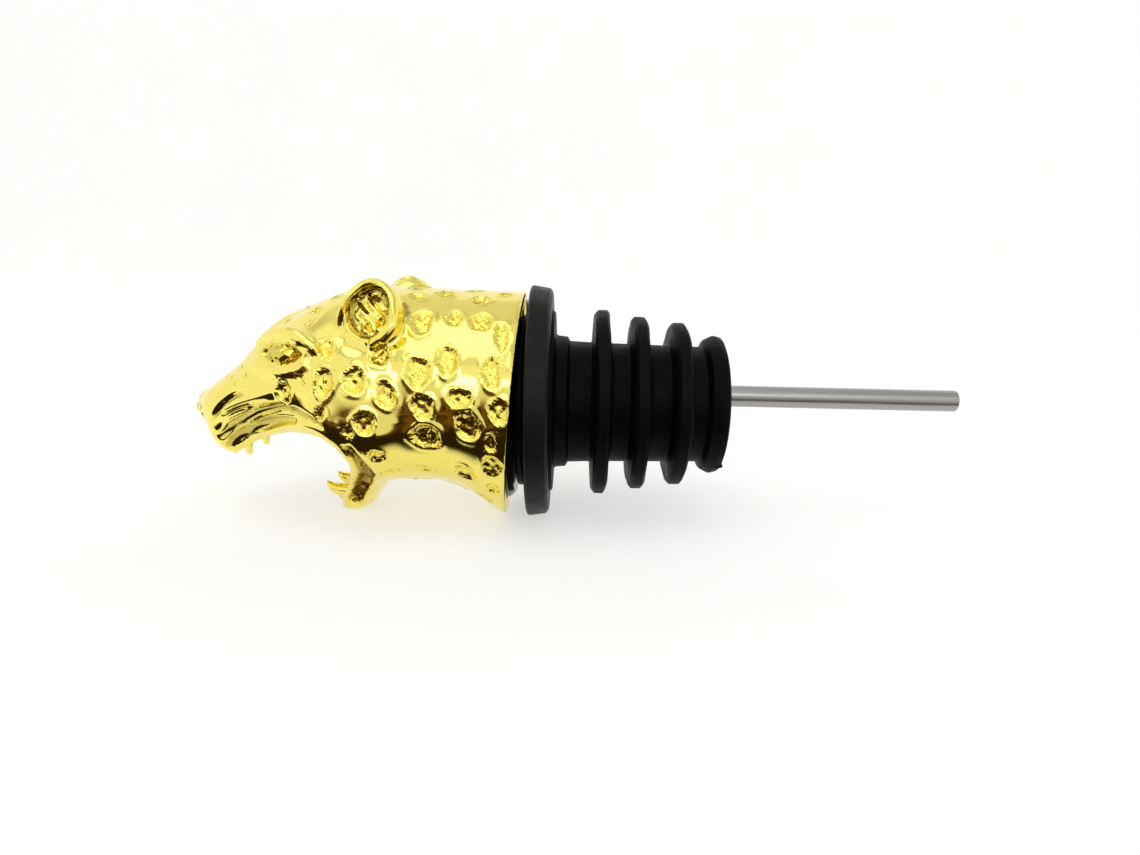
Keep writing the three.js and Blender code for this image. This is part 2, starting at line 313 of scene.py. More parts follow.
# Rolled rim of one ear, from its front foot over the top to its rear foot.
EAR_RIM = [
    (-26.5, 10.2, 11.0),
    (-26.0, 10.5, 12.9),
    (-25.1, 10.3, 14.4),
    (-23.7, 9.9, 15.8),
    (-22.0, 9.8, 16.4),
    (-20.4, 10.5, 15.8),
    (-19.3, 11.6, 14.4),
    (-18.9, 12.6, 12.8),
    (-19.0, 13.2, 11.3),
    (-19.9, 13.3, 10.0),
    (-21.3, 12.9, 9.1),
]
EAR_CENTRE = np.array([-22.3, 11.5, 12.9])

# Folds of the snarling muzzle, as (x, z) places, a radius and how far the line stands off the skin.
MUZZLE_CUTS = [
    (
        [(-45.0, -2.0), (-44.1, -1.0), (-43.3, -0.2), (-42.7, 0.3), (-41.9, 0.9), (-40.8, 1.4),
         (-39.4, 1.7)],
        0.45, 0.05,
    ),
    ([(-43.0, -1.5), (-41.6, -0.7), (-39.5, 0.1), (-37.4, 0.7), (-35.2, 1.0)], 0.42, 0.05),
    (
        [(-44.2, -4.4), (-42.9, -3.5), (-41.6, -2.5), (-39.8, -1.6), (-37.6, -0.5), (-35.3, 0.3),
         (-33.9, 0.7), (-32.5, 0.5), (-30.6, 0.0), (-29.2, -0.4), (-27.7, -1.0)],
        0.65, 0.05,
    ),
    (
        [(-43.6, -6.2), (-42.5, -5.2), (-41.5, -4.5), (-39.8, -3.5), (-38.2, -2.8), (-36.3, -2.0),
         (-34.2, -1.3), (-32.0, -0.9)],
        0.85, 0.2,
    ),
]
MUZZLE_RIDGES = [
    ([(-43.4, -1.1), (-42.3, -0.5), (-40.4, 0.4), (-38.1, 1.3), (-35.8, 2.2), (-34.4, 2.8)], 0.7, -0.25),
    ([(-43.0, -2.5), (-41.3, -1.6), (-39.0, -0.4), (-36.7, 0.4), (-35.1, 0.8)], 0.7, -0.2),
    ([(-42.8, -4.3), (-40.6, -2.8), (-37.9, -1.4), (-35.5, -0.5), (-34.3, -0.3)], 0.7, -0.2),
    (
        [(-38.4, -3.6), (-36.4, -2.9), (-34.0, -2.0), (-32.0, -1.6), (-30.0, -1.3), (-28.1, -1.6),
         (-26.6, -2.7)],
        0.6, -0.2,
    ),
]

# The sunk, wrinkled gum of the lower jaw: an outline of (x, z) places.
GUM = [
    (-25.6, -3.6), (-24.9, -4.9), (-24.5, -6.2), (-24.9, -8.1), (-25.8, -9.9), (-27.9, -13.4),
    (-26.1, -14.0), (-24.6, -11.5), (-23.2, -9.5), (-22.3, -8.0), (-22.7, -6.4), (-23.3, -4.8),
    (-24.2, -3.2),
]
GUM_DEPTH = 0.8

# Coat spots on one side: (x, y, z, half length along x, half height round the neck, turn in degrees).
SPOTS = [
    (-30.6, 8.7, 11.0, 0.55, 0.6, 0),
    (-27.6, 12.1, 8.2, 1.0, 1.3, 0),
    (-30.5, 13.0, 4.7, 0.6, 0.65, 0),
    (-33.0, 12.5, 2.7, 1.2, 1.4, 20),
    (-27.5, 13.8, 4.3, 1.25, 1.8, 0),
    (-23.7, 14.1, 4.7, 1.4, 1.65, 0),
    (-19.8, 14.5, 3.1, 1.15, 1.65, 15),
    (-20.8, 12.8, 7.6, 1.2, 1.4, 0),
    (-22.3, 14.8, -0.4, 1.35, 1.4, 0),
    (-27.8, 14.0, 0.5, 0.7, 0.9, 0),
    (-24.4, 14.3, -1.4, 1.1, 0.7, -30),
    (-21.3, 13.9, -4.4, 1.15, 0.95, -30),
    (-20.6, 11.2, -7.6, 1.4, 0.7, 0),
    (-16.0, 13.7, 5.8, 1.65, 1.95, 20),
    (-15.3, 14.8, 1.7, 1.35, 1.5, 15),
    (-12.5, 13.1, 7.3, 1.4, 1.9, 10),
    (-10.7, 14.8, 2.8, 1.65, 1.15, -8),
    (-7.0, 14.2, 6.0, 1.15, 2.1, 10),
    (-5.9, 15.4, 1.4, 1.15, 1.6, 0),
    (-15.0, 14.6, -2.0, 2.05, 1.6, -10),
    (-9.8, 15.2, -0.3, 1.5, 2.2, 20),
    (-7.0, 15.4, -2.4, 0.85, 1.5, 0),
    (-6.9, 14.6, -5.6, 1.25, 1.5, 0),
    (-10.5, 12.7, -7.2, 1.65, 1.2, -30),
    (-15.8, 11.4, -6.9, 1.5, 0.8, -10),
    (-7.0, 12.7, -9.3, 1.05, 1.0, 0),
    (-8.4, 9.6, -11.6, 1.1, 0.8, -30),
    (-16.2, 9.8, 11.5, 1.4, 2.0, 0),
    (-12.2, 9.2, 12.0, 1.1, 1.35, 0),
    (-8.7, 9.8, 11.7, 1.5, 1.5, 0),
    (-17.6, 5.2, 14.5, 1.3, 1.1, -20),
    (-14.2, 3.9, 14.8, 1.25, 1.2, 0),
    (-9.3, 5.6, 14.2, 1.25, 1.1, 0),
    (-6.2, 3.4, 14.9, 1.0, 0.9, 0),
    (-6.0, 11.5, 10.2, 0.95, 2.3, 5),
    (-28.6, 3.8, 14.2, 0.8, 0.8, 30),
    (-32.6, 2.2, 12.9, 0.9, 0.8, 20),
    (-36.2, 1.6, 11.0, 0.7, 0.7, 10),
    (-12.6, 5.8, -10.9, 1.3, 1.2, 15),
    (-7.6, 4.9, -14.3, 1.3, 1.3, -20),
    (-17.6, 5.2, -9.2, 1.3, 1.1, 0),
    (-41.8, 6.2, 3.1, 0.4, 0.35, 0),
    (-40.9, 7.2, 2.7, 0.35, 0.3, 0),
    (-40.4, 6.4, 4.6, 0.45, 0.35, 30),
    (-39.2, 7.9, 3.9, 0.4, 0.35, 0),
    (-42.9, 5.0, 2.9, 0.35, 0.3, 0),
    (-35.0, 4.6, 10.8, 0.7, 0.65, 20),
    (-30.6, 6.4, 12.5, 0.9, 0.8, 30),
    (-25.6, 2.1, 15.2, 1.0, 0.9, 20),
    (-22.4, 4.3, 15.0, 1.1, 1.0, -15),
    (-18.4, 1.6, 15.4, 1.1, 1.0, 10),
    (-10.6, 1.5, 15.2, 1.1, 1.0, 0),
]


def waves(x, y, z):
    """Slow unevenness of a hand-finished casting, in millimetres."""
    return (
        np.sin(0.83 * x + 1.7 * np.sin(0.31 * y + 0.4) + 0.9)
        * np.sin(0.71 * y + 0.6 * z + 1.3)
        + np.sin(1.27 * z + 0.9 * np.sin(0.43 * x) + 2.1) * np.sin(0.57 * x - 0.33 * y + 0.2)
    ).astype(np.float32)


def step(a, b, v):
    t = np.clip((v - a) / (b - a), 0.0, 1.0)
    return t * t * (3.0 - 2.0 * t)


def spot_frame(spot, gradient):
    """Centre and tangent axes of a spot on the skin."""
    centre = np.array(spot[:3])
    normal = gradient(centre)
    along = np.array([1.0, 0.0, 0.0]) - normal[0] * normal
    along /= np.linalg.norm(along)
    round_ = np.cross(normal, along)
    a = math.radians(spot[5])
    if round_[2] < 0:
        round_ = -round_
    first = math.cos(a) * along + math.sin(a) * round_
    second = -math.sin(a) * along + math.cos(a) * round_
    return centre, normal, first, second


def spot_local(spot, frame_, x, y, z):
    centre, normal, first, second = frame_
    p = (x - centre[0], y - centre[1], z - centre[2])
    u = p[0] * first[0] + p[1] * first[1] + p[2] * first[2]
    v = p[0] * second[0] + p[1] * second[1] + p[2] * second[2]
    w = p[0] * normal[0] + p[1] * normal[1] + p[2] * normal[2]
    # A hand-cut outline: the oval's edge wanders a little.
    angle = np.arctan2(v / spot[4], u / spot[3])
    phase = 7.3 * centre[0] + 3.1 * centre[2]
    edge = 1.0 + 0.06 * np.sin(3 * angle + phase) + 0.04 * np.sin(5 * angle + 2.3 * phase)
    return u, v, w, np.sqrt((u / spot[3]) ** 2 + (v / spot[4]) ** 2) / edge, phase


def shape_skull(f):
    """The skull, the snout and the neck."""
    cuts, x, y, z = f.part(GRID_LOW, GRID_HIGH)
    top, bottom, width, middle, square = (v[:, None, None] for v in through(SKULL, f.xs))
    reach = np.maximum(np.where(z > middle, top - middle, middle - bottom), 0.2)
    width = np.maximum(width, 0.2)
    q = ((np.abs(y) / width) ** square + (np.abs(z - middle) / reach) ** square) ** (1 / square)
    skull = np.maximum((q - 1.0) * np.minimum(width, reach), SKULL[0][0] - x)
    f.add(cuts, skull.astype(np.float32), 0.01)


def shape_jaw(f):
    """The lower jaw, hanging open from the cheeks."""
    cuts, x, y, z = f.part(GRID_LOW, GRID_HIGH)
    front, rear, wide = (v[None, None, :] for v in through(JAW, np.clip(f.zs, -16.0, -2.0)))
    half = (rear - front) / 2
    q = ((np.abs(y) / wide) ** 2.3 + (np.abs(x - (front + rear) / 2) / half) ** 2.3) ** (1 / 2.3)
    jaw = smooth_max(np.maximum((q - 1.0) * half, -15.9 - z), z + 2.0, 1.0)
    f.add(cuts, jaw.astype(np.float32), 1.4)


def shape_bulges(f):
    """Nose pad, whisker pads, cheekbones and brows."""
    f.ellipsoid((-48.1, 0.0, -0.9), (1.9, 3.0, 1.8), 0.7)
    f.ellipsoid((-43.6, 4.2, -3.3), (3.0, 3.4, 3.8), 0.8)
    f.ellipsoid((-24.5, 11.2, -1.2), (6.5, 3.6, 4.6), 2.0, (0, 0, 12))
    brow = [(-38.6, 6.0, 8.2), (-36.8, 7.3, 9.1), (-34.2, 9.2, 9.8), (-31.4, 11.0, 9.5), (-29.0, 12.2, 8.2)]
    f.cord(curve_through(brow, 12), swell(12, 0.25, 1.0, 0.4, 0.65), 1.0)
    cheek = [(-38.2, 8.4, 5.6), (-35.6, 10.3, 5.2), (-32.6, 11.9, 5.3), (-30.2, 12.6, 6.2)]
    f.cord(curve_through(cheek, 10), swell(10, 0.4, 0.75, 0.4), 1.0)


def shape_muzzle_folds(f):
    """The folds of the snarl, which sweep back from the whisker pad, rougher and with painted shade in
    their valleys.
    """
    for line, radius, lift in MUZZLE_RIDGES:
        f.cord(f.along(line, 16, lift + 0.08), radius * swell(16, 0.6, 1.05, 0.5, 0.3), 0.28)
    before = f.d.copy()
    for line, radius, lift in MUZZLE_CUTS:
        f.cord(f.along(line, 20, lift - 0.3), radius * swell(20, 0.6, 1.05, 0.5, 0.3), 0.22, cut=True)
    # Painted shade: the valleys cut by the folds are painted darker.
    f.paint_shade_and_dull(f.whole(), 0.6 * step(0.15, 0.6, f.d - before))
    f.soften((-46.5, 3.0, -9.5), (-26.0, 15.0, 4.0), 1)


def shape_mouth(f):
    """The open mouth, its lips, palate, gullet and tongue."""
    lip = f.along(LIP[1:], 44)
    outline = [(-48.2, -30.0), (-46.2, -10.0)] + [(p[0], p[2]) for p in lip]
    outline += [(-31.2, -16.0), (-33.0, -30.0)]
    mouth = polygon_distance(np.array(outline), f.xs, f.zs)[:, None, :]
    gum = polygon_distance(np.array(GUM), f.xs, f.zs)[:, None, :]
    sunk = step(0.1, -0.55, gum) * step(6.0, 8.0, f.ys)[None, :, None]
    sunk = np.maximum(sunk, step(0.1, -0.55, gum) * step(-9.0, -11.0, f.zs)[None, None, :])
    bend = np.sin(1.7 * f.ys)[None, :, None]
    wrinkles = 0.12 * np.sin(3.1 * f.xs[:, None, None] + 1.9 * f.zs[None, None, :] + bend)
    f.d += sunk * (GUM_DEPTH + wrinkles)
    f.mark(f.whole(), sunk)
    # Painted shade: the sunk gum is painted dark.
    f.paint_shade_and_dull(f.whole(), sunk)
    f.cut(f.whole(), np.broadcast_to(mouth, f.d.shape), 0.35)
    f.cord(lip + np.array([0, -0.45, 0.15]), 0.5 * swell(44, 0.9, 0.9, 0.7), 0.2)

    f.ellipsoid((-36.7, 0.0, -5.4), (8.4, 5.9, 4.6), 0.5, cut=True)
    f.ellipsoid((-30.6, 0.0, -5.8), (6.2, 8.6, 6.0), 0.5, cut=True)
    f.ellipsoid((-28.4, 0.0, -10.2), (2.7, 6.2, 5.6), 0.5, (0, 14, 0), cut=True)
    for k in range(5):
        x = -41.0 + 2.2 * k
        f.cord([(x, 0.0, -1.2 - 0.12 * (k - 2) ** 2), (x + 0.7, 3.6, -2.4)], 0.35, 0.5)
    f.ellipsoid((-26.6, 0.0, -9.6), (1.6, 3.6, 4.2), 0.7, (0, 16, 0))
    f.cord([(-28.3, 0.0, -12.6), (-28.2, 0.0, -9.0), (-27.4, 0.0, -6.6)], 0.22, 0.3, cut=True)


def shape_teeth(f):
    """Hooked canines above and below, with small incisors between them."""
    f.cord([(-42.6, 2.9, -4.6), (-42.55, 2.85, -6.5), (-42.5, 2.8, -7.8)], [1.0, 0.75, 0.45], 0.2)
    lower = [(-28.0, 2.7, -13.2), (-29.8, 2.6, -13.1), (-31.0, 2.5, -12.8), (-31.7, 2.4, -12.2)]
    f.cord(lower, [1.25, 1.0, 0.7, 0.4], 0.3)
    for k in range(3):
        x, y = 0.15 * k * k, 0.45 + 0.8 * k
        f.cord([(x - 44.2, y, -4.8), (x - 44.0, y, -6.9)], [0.5, 0.34], 0.15)
        f.cord([(-28.8, y, -14.2), (-29.9, y, -14.1), (-30.4, y, -13.7)], [0.8, 0.6, 0.42], 0.3)


def shape_nose(f):
    """The bridge of the nose with its snarl wrinkles, the nose pad, the nostrils and the groove below."""
    bridge = f.over([(-46.9, 2.7), (-45.3, 2.9), (-43.0, 3.2), (-40.6, 3.9), (-38.4, 4.9)], 16, 0.05)
    wrinkles = [
        f.over([(x, 0.1), (x + 0.25, 1.2), (x + 0.9, 2.3)], 8, 0.16) for x in (-45.6, -44.2, -42.7, -41.1)
    ]
    pad = f.over([(-48.0, 3.0), (-47.7, 2.2), (-47.4, 1.2), (-47.3, 0.1)], 10, 0.08)
    frown = f.over([(-38.6, 0.1), (-36.0, 0.1), (-33.2, 0.1), (-30.4, 0.1)], 12, 0.25)
    brow = f.over([(-38.9, 3.4), (-37.2, 2.6), (-35.0, 2.2), (-32.8, 2.7)], 10, -0.4)
    f.cord(brow, swell(10, 0.5, 0.75, 0.4), 0.6)
    f.cord(bridge, swell(16, 0.35, 0.6, 0.3), 0.4, cut=True)
    f.cord(frown, swell(12, 0.4, 0.7, 0.3), 0.5, cut=True)
    f.cord(pad, 0.32, 0.2, cut=True)
    for line in wrinkles:
        f.cord(line, swell(8, 0.4, 0.36, 0.25), 0.25, cut=True)
    before = f.d.copy()
    nostril = [(-50.3, 1.2, -0.9), (-49.5, 1.9, -0.6), (-48.9, 2.6, -0.9), (-48.5, 3.0, -1.7)]
    f.cord(nostril, [0.35, 0.6, 0.5, 0.3], 0.2, cut=True)
    groove = [(-50.2, 0.0, -2.0), (-49.2, 0.0, -3.4), (-47.7, 0.0, -5.2), (-46.6, 0.0, -7.4)]
    f.cord(groove, 0.35, 0.35, cut=True)
    wing = [(-47.9, 4.0, -1.2), (-47.2, 4.3, -2.4), (-48.1, 2.6, -3.6), (-49.4, 0.6, -3.0)]
    f.cord(wing, [0.3, 0.42, 0.35, 0.2], 0.3, cut=True)
    # Painted shade: the nostril, the groove under the nose and the wing are painted darker.
    f.paint_shade_and_dull(f.whole(), 0.9 * step(0.1, 0.4, f.d - before))


def shape_eye(f):
    """An almond socket under the brow, the lids round it and the ball inside."""
    f.ellipsoid((-33.8, 11.5, 7.3), (3.9, 1.9, 1.6), 0.25, (33, 4, 26), cut=True)
    f.ellipsoid((-34.0, 10.1, 7.15), (2.1, 0.95, 1.15), 0.15, (33, 0, 26))
    upper = [(-37.3, 8.6, 7.0), (-36.0, 8.9, 8.0), (-33.9, 9.9, 8.7), (-31.6, 11.2, 8.5)]
    lower = [(-37.3, 8.7, 6.9), (-35.7, 10.0, 6.1), (-33.4, 11.4, 5.8), (-31.2, 12.3, 6.4)]
    f.cord(curve_through([*upper, (-29.9, 12.1, 7.6)], 14), 0.42, 0.25)
    f.cord(curve_through([*lower, (-29.9, 12.2, 7.5)], 14), 0.34, 0.3)
    cuts, x, y, z = f.part((-38.2, 7.6, 4.8), (-29.4, 13.5, 9.6))
    m = turning((33, 4, 26))
    p = [x + 33.8, y - 10.9, z - 7.3]
    u, v, w = (m[0][i] * p[0] + m[1][i] * p[1] + m[2][i] * p[2] for i in range(3))
    inside = step(1.0, 0.8, np.sqrt((u / 3.6) ** 2 + (w / 1.4) ** 2)) * step(1.6, 0.8, np.abs(v))
    lumps = np.sin(4.2 * u + 1.3 * np.sin(2.6 * w) + 0.5) * np.sin(4.9 * w + 0.8)
    lumps = lumps + 0.5 * np.sin(7.0 * u - 3.0 * w)
    f.d[cuts] += (0.15 * inside * lumps).astype(np.float32)
    f.mark(cuts, inside)
    # Painted shade: the socket's floor is painted a little darker.
    f.paint_shade_and_dull(cuts, 0.25 * inside)


def shape_ear(f):
    """A cup set into the crown, with a rolled rim open at its foot and hair inside."""
    normal = np.array([-0.34, 0.875, 0.346])
    normal /= np.linalg.norm(normal)
    along = np.array([0.94, 0.29, 0.18])
    along -= (along @ normal) * normal
    along /= np.linalg.norm(along)
    axes = np.column_stack([along, normal, np.cross(along, normal)])
    f.ellipsoid(EAR_CENTRE - 1.1 * normal, (3.95, 2.7, 4.1), 1.0, axes)
    f.ellipsoid((-24.6, 14.3, 9.7), (2.9, 2.2, 2.3), 0.5, (0, 20, 0), cut=True)
    f.ellipsoid(EAR_CENTRE + 0.35 * normal, (3.2, 2.7, 3.45), 0.25, axes, cut=True)
    f.cord(curve_through(EAR_RIM, 30), swell(30, 0.35, 0.52, 0.75, 0.5), 0.2)

    cuts, x, y, z = f.part(EAR_CENTRE - 4.2, EAR_CENTRE + 4.2)
    p = (x - EAR_CENTRE[0], y - EAR_CENTRE[1], z - EAR_CENTRE[2])
    u, w, v = (p[0] * a[0] + p[1] * a[1] + p[2] * a[2] for a in axes.T)
    r = np.sqrt((u / 3.2) ** 2 + (v / 3.4) ** 2)
    inside = step(0.88, 0.7, r) * step(0.6, -0.1, w)
    strands = np.sin(3.6 * (u + 0.55 * v) + 1.2 * np.sin(1.4 * v)) * (0.65 + 0.35 * np.sin(2.1 * v + u))
    hair = 0.35 * strands - 0.55
    f.d[cuts] += (inside * hair).astype(np.float32)
    wall = step(1.06, 0.96, r) * step(0.7, 0.84, r)
    f.mark(cuts, 0.35 * step(1.0, 0.8, r) * step(0.6, -0.1, w))
    # Painted shade: the cup's inner wall is painted darker.
    f.paint_shade_and_dull(cuts, 0.8 * wall * step(0.6, -0.1, w))


def shape_spots(f):
    """The leopard's spots, sunk ovals with a raised edge and a pebbled floor."""
    gradient = field_gradient(f.d.copy(), f)
    for spot in SPOTS:
        place = spot_frame(spot, gradient)
        size = max(spot[3], spot[4]) * 1.6 + 0.6
        cuts, x, y, z = f.part(place[0] - size, place[0] + size)
        u, v, w, r, phase = spot_local(spot, place, x, y, z)
        deep = min(0.38, 0.27 * min(spot[3], spot[4]) + 0.06)
        near = step(2.2, 1.2, np.abs(w))
        bowl = deep * step(1.02, 0.68, r)
        rim = -0.5 * deep * np.exp(-(((r - 1.14) / 0.12) ** 2))
        grain = np.sin(4.6 * u + phase) * np.sin(4.3 * v + 1.9 * phase)
        grain = grain + 0.6 * np.sin(7.0 * u - 3.4 * v + phase)
        pebbles = 0.3 * deep * grain * step(0.95, 0.7, r)
        f.d[cuts] += (near * (bowl + rim + pebbles)).astype(np.float32)
        f.mark(cuts, near * step(1.05, 0.85, r))


def shape_sockets(f):
    """The rear edge, the plug's stepped socket and the bore to the throat."""
    cuts, x, y, z = f.part(GRID_LOW, GRID_HIGH)
    f.cut(cuts, np.broadcast_to(-(x - (REAR_X + REAR_TILT * z)), f.d.shape), 0.3)
    r = np.sqrt(y * y + z * z)
    f.d = np.maximum(f.d, -np.maximum(r - SOCKET_R, SOCKET_STEP - x))
    f.d = np.maximum(f.d, -np.maximum(r - SOCKET_BOSS_R, SOCKET_FLOOR - x))
    f.d = np.maximum(f.d, -np.maximum(r - THROAT_R, np.maximum(THROAT_FRONT - x, x - SOCKET_FLOOR - 0.9)))


def head_field():
    """Half of the leopard's head, as a distance field."""
    f = Field()
    shape_skull(f)
    shape_jaw(f)
    shape_bulges(f)
    shape_muzzle_folds(f)
    shape_mouth(f)
    shape_teeth(f)
    shape_nose(f)
    shape_eye(f)
    shape_ear(f)
    _, x, y, z = f.part(GRID_LOW, GRID_HIGH)
    f.d += 0.028 * waves(x, y, z)
    shape_spots(f)
    shape_sockets(f)
    return f


def field_gradient(values, f):
    """Unit gradient of the field, read at any point with y >= 0."""
    low = np.array([f.xs[0], f.ys[0], f.zs[0]])

    def at(point):
        i = np.clip(np.round((np.array(point) - low) / CELL).astype(int), 2, np.array(values.shape) - 3)
        n = np.array([
            values[i[0] + 2, i[1], i[2]] - values[i[0] - 2, i[1], i[2]],
            values[i[0], i[1] + 2, i[2]] - values[i[0], i[1] - 2, i[2]],
            values[i[0], i[1], i[2] + 2] - values[i[0], i[1], i[2] - 2],
        ])
        return n / (np.linalg.norm(n) + 1e-9)

    return at


def polygon_distance(corners, xs, zs):
    """Signed distance to a closed outline in the x-z plane, negative inside."""
    x = xs[:, None].astype(float)
    z = zs[None, :].astype(float)
    best = np.full((len(xs), len(zs)), 1e9)
    odd = np.zeros(best.shape, dtype=bool)
    for a, b in zip(corners, np.roll(corners, -1, axis=0)):
        v = b - a
        t = np.clip(((x - a[0]) * v[0] + (z - a[1]) * v[1]) / (v @ v), 0, 1)
        best = np.minimum(best, np.hypot(x - a[0] - t * v[0], z - a[1] - t * v[1]))
        if a[1] != b[1]:
            crossing = ((a[1] > z) != (b[1] > z)) & (x < (b[0] - a[0]) * (z - a[1]) / (b[1] - a[1]) + a[0])
            odd ^= crossing
    return np.where(odd, -best, best).astype(np.float32)


def surface_nets(field, low, cell):
    """Vertices and quads of the zero level of a field on a grid."""
    inside = field < 0
    nx, ny, nz = field.shape
    offsets = [np.array((i, j, k)) for i in (0, 1) for j in (0, 1) for k in (0, 1)]
    corners = [inside[i : nx - 1 + i, j : ny - 1 + j, k : nz - 1 + k] for i, j, k in offsets]
    count = sum(c.astype(np.int8) for c in corners)
    active = (count > 0) & (count < 8)
    where = np.argwhere(active)
    number = np.full(active.shape, -1, dtype=np.int32)
    number[active] = np.arange(len(where))
    total = np.zeros((len(where), 3))
    hits = np.zeros(len(where))
    values = [field[tuple((where + o).T)] for o in offsets]
    for a in range(8):
        for axis in range(3):
            o = offsets[a]
            if o[axis]:
                continue
            b = a + (4, 2, 1)[axis]
            va, vb = values[a], values[b]
            cross = (va < 0) != (vb < 0)
            t = np.where(cross, va / np.where(cross, va - vb, 1.0), 0.0)
            point = np.tile(o.astype(float), (len(where), 1))
            point[:, axis] += t
            total += point * cross[:, None]
            hits += cross
    verts = (where + total / hits[:, None]) * cell + np.array(low)
    quads = []
    for axis in range(3):
        u, v = [(1, 2), (2, 0), (0, 1)][axis]
        first = [slice(None)] * 3
        second = [slice(None)] * 3
        first[axis] = slice(0, -1)
        second[axis] = slice(1, None)
        a, b = inside[tuple(first)], inside[tuple(second)]
        change = a != b
        edge = np.argwhere(change)
        edge = edge[(edge[:, u] > 0) & (edge[:, v] > 0)]
        edge = edge[(edge[:, u] < field.shape[u] - 1) & (edge[:, v] < field.shape[v] - 1)]
        out = a[tuple(edge.T)]
        du, dv = np.zeros(3, int), np.zeros(3, int)
        du[u], dv[v] = 1, 1
        ring = [number[tuple((edge - s).T)] for s in (du + dv, dv, 0 * du, du)]
        ring = np.stack(ring, axis=1)
        ring[~out] = ring[~out][:, ::-1]
        quads.append(ring)
    return verts, np.concatenate(quads)


def mirrored(half):
    """The whole field from its y >= 0 half."""
    return np.concatenate([half[:, :0:-1, :], half], axis=1)


def read_field(values, low, points):
    """A field's value at any point, from the eight grid values round it."""
    at = (points - low) / CELL
    first = np.clip(np.floor(at).astype(int), 0, np.array(values.shape) - 2)
    part = at - first
    total = 0.0
    for i in (0, 1):
        for j in (0, 1):
            for k in (0, 1):
                share = np.prod(np.where((i, j, k), part, 1 - part), axis=1)
                total = total + share * values[tuple((first + (i, j, k)).T)]
    return total


def settle(full, low, verts):
    """Moves net vertices onto the field's zero level, and gives their normals."""
    slopes = [g.astype(np.float32) for g in np.gradient(full, CELL)]
    for _ in range(2):
        slope = np.stack([read_field(g, low, verts) for g in slopes], axis=1)
        size = np.maximum(np.sum(slope**2, axis=1), 0.04)
        move = -read_field(full, low, verts)[:, None] * slope / size[:, None]
        verts = verts + np.clip(move, -0.3 * CELL, 0.3 * CELL)
    slope = np.stack([read_field(g, low, verts) for g in slopes], axis=1)
    return verts, slope / (np.linalg.norm(slope, axis=1, keepdims=True) + 1e-9)


# ---------------------------------------------------------------- meshes
def mesh_object(name, verts, faces, normals=None):
    """A smooth-shaded object from points in metres and faces of one size."""
    verts = np.asarray(verts, dtype=np.float32)
    faces = np.asarray(faces, dtype=np.int32)
    sides = faces.shape[1]
    mesh = bpy.data.meshes.new(name)
    mesh.vertices.add(len(verts))
    mesh.vertices.foreach_set("co", verts.ravel())
    mesh.loops.add(faces.size)
    mesh.loops.foreach_set("vertex_index", faces.ravel())
    mesh.polygons.add(len(faces))
    mesh.polygons.foreach_set("loop_start", np.arange(0, faces.size, sides, dtype=np.int32))
    mesh.polygons.foreach_set("use_smooth", np.ones(len(faces), dtype=bool))
    mesh.update(calc_edges=True)
    mesh.validate()
    if normals is not None:
        mesh.normals_split_custom_set_from_vertices(np.asarray(normals, dtype=float).tolist())
    obj = bpy.data.objects.new(name, mesh)
    bpy.context.scene.collection.objects.link(obj)
    return obj


def store(mesh, name, values):
    """Keeps one number per vertex, for a material to read."""
    layer = mesh.attributes.new(name, "FLOAT", "POINT")
    layer.data.foreach_set("value", np.asarray(values, dtype=np.float32))


def rounded(corners, steps=7):
    """A closed outline of (x, radius, fillet) corners in millimetres, each rounded by its fillet."""
    line = []
    count = len(corners)
    for i, (x, r, fillet) in enumerate(corners):
        here = np.array([x, r], dtype=float)
        before = np.array(corners[i - 1][:2], dtype=float) - here
        after = np.array(corners[(i + 1) % count][:2], dtype=float) - here
        before_length, after_length = np.linalg.norm(before), np.linalg.norm(after)
        before, after = before / before_length, after / after_length
        half = math.acos(np.clip(before @ after, -1, 1)) / 2
        if fillet <= 0 or half > math.radians(88):
            line.append(here)
            continue
        back = min(fillet / math.tan(half), 0.48 * before_length, 0.48 * after_length)
        start, end = here + before * back, here + after * back
        for t in np.linspace(0, 1, steps):
            line.append((1 - t) ** 2 * start + 2 * t * (1 - t) * here + t**2 * end)
    return np.array(line)


def revolved(name, outline, segments, shape=None, axis_z=0.0):
    """A closed outline of (x, radius) turned about the stopper's axis.

    shape(x, r, angle) gives each point's radius, so that mould marks can stand proud of the round.
    """
    turn = np.linspace(0, 2 * math.pi, segments, endpoint=False)
    x = np.repeat(outline[:, 0][:, None], segments, axis=1)
    r = np.repeat(outline[:, 1][:, None], segments, axis=1)
    angle = np.repeat(turn[None, :], len(outline), axis=0)
    if shape is not None:
        x, r = shape(x, r, angle)
    points = np.stack([x, r * np.cos(angle), r * np.sin(angle) + axis_z], axis=-1).reshape(-1, 3)
    i = np.arange(len(outline))[:, None]
    j = np.arange(segments)[None, :]
    nexti, nextj = (i + 1) % len(outline), (j + 1) % segments
    faces = np.stack(
        [i * segments + j, i * segments + nextj, nexti * segments + nextj, nexti * segments + j], axis=-1
    ).reshape(-1, 4)
    area = np.sum(outline[:, 0] * np.roll(outline[:, 1], -1) - np.roll(outline[:, 0], -1) * outline[:, 1])
    if area > 0:
        faces = faces[:, ::-1]
    return mesh_object(name, to_frame(points), faces)


def angle_from(angle, where):
    """How far an angle is from another, in radians, signed."""
    return (angle - where + math.pi) % (2 * math.pi) - math.pi


def mould_seam(angle, height, width):
    """The thin line that a two-part mould leaves along the top and the bottom."""
    top = np.exp(-((angle_from(angle, math.radians(93)) / width) ** 2))
    bottom = np.exp(-((angle_from(angle, math.radians(-86)) / width) ** 2))
    return height * (top + bottom)


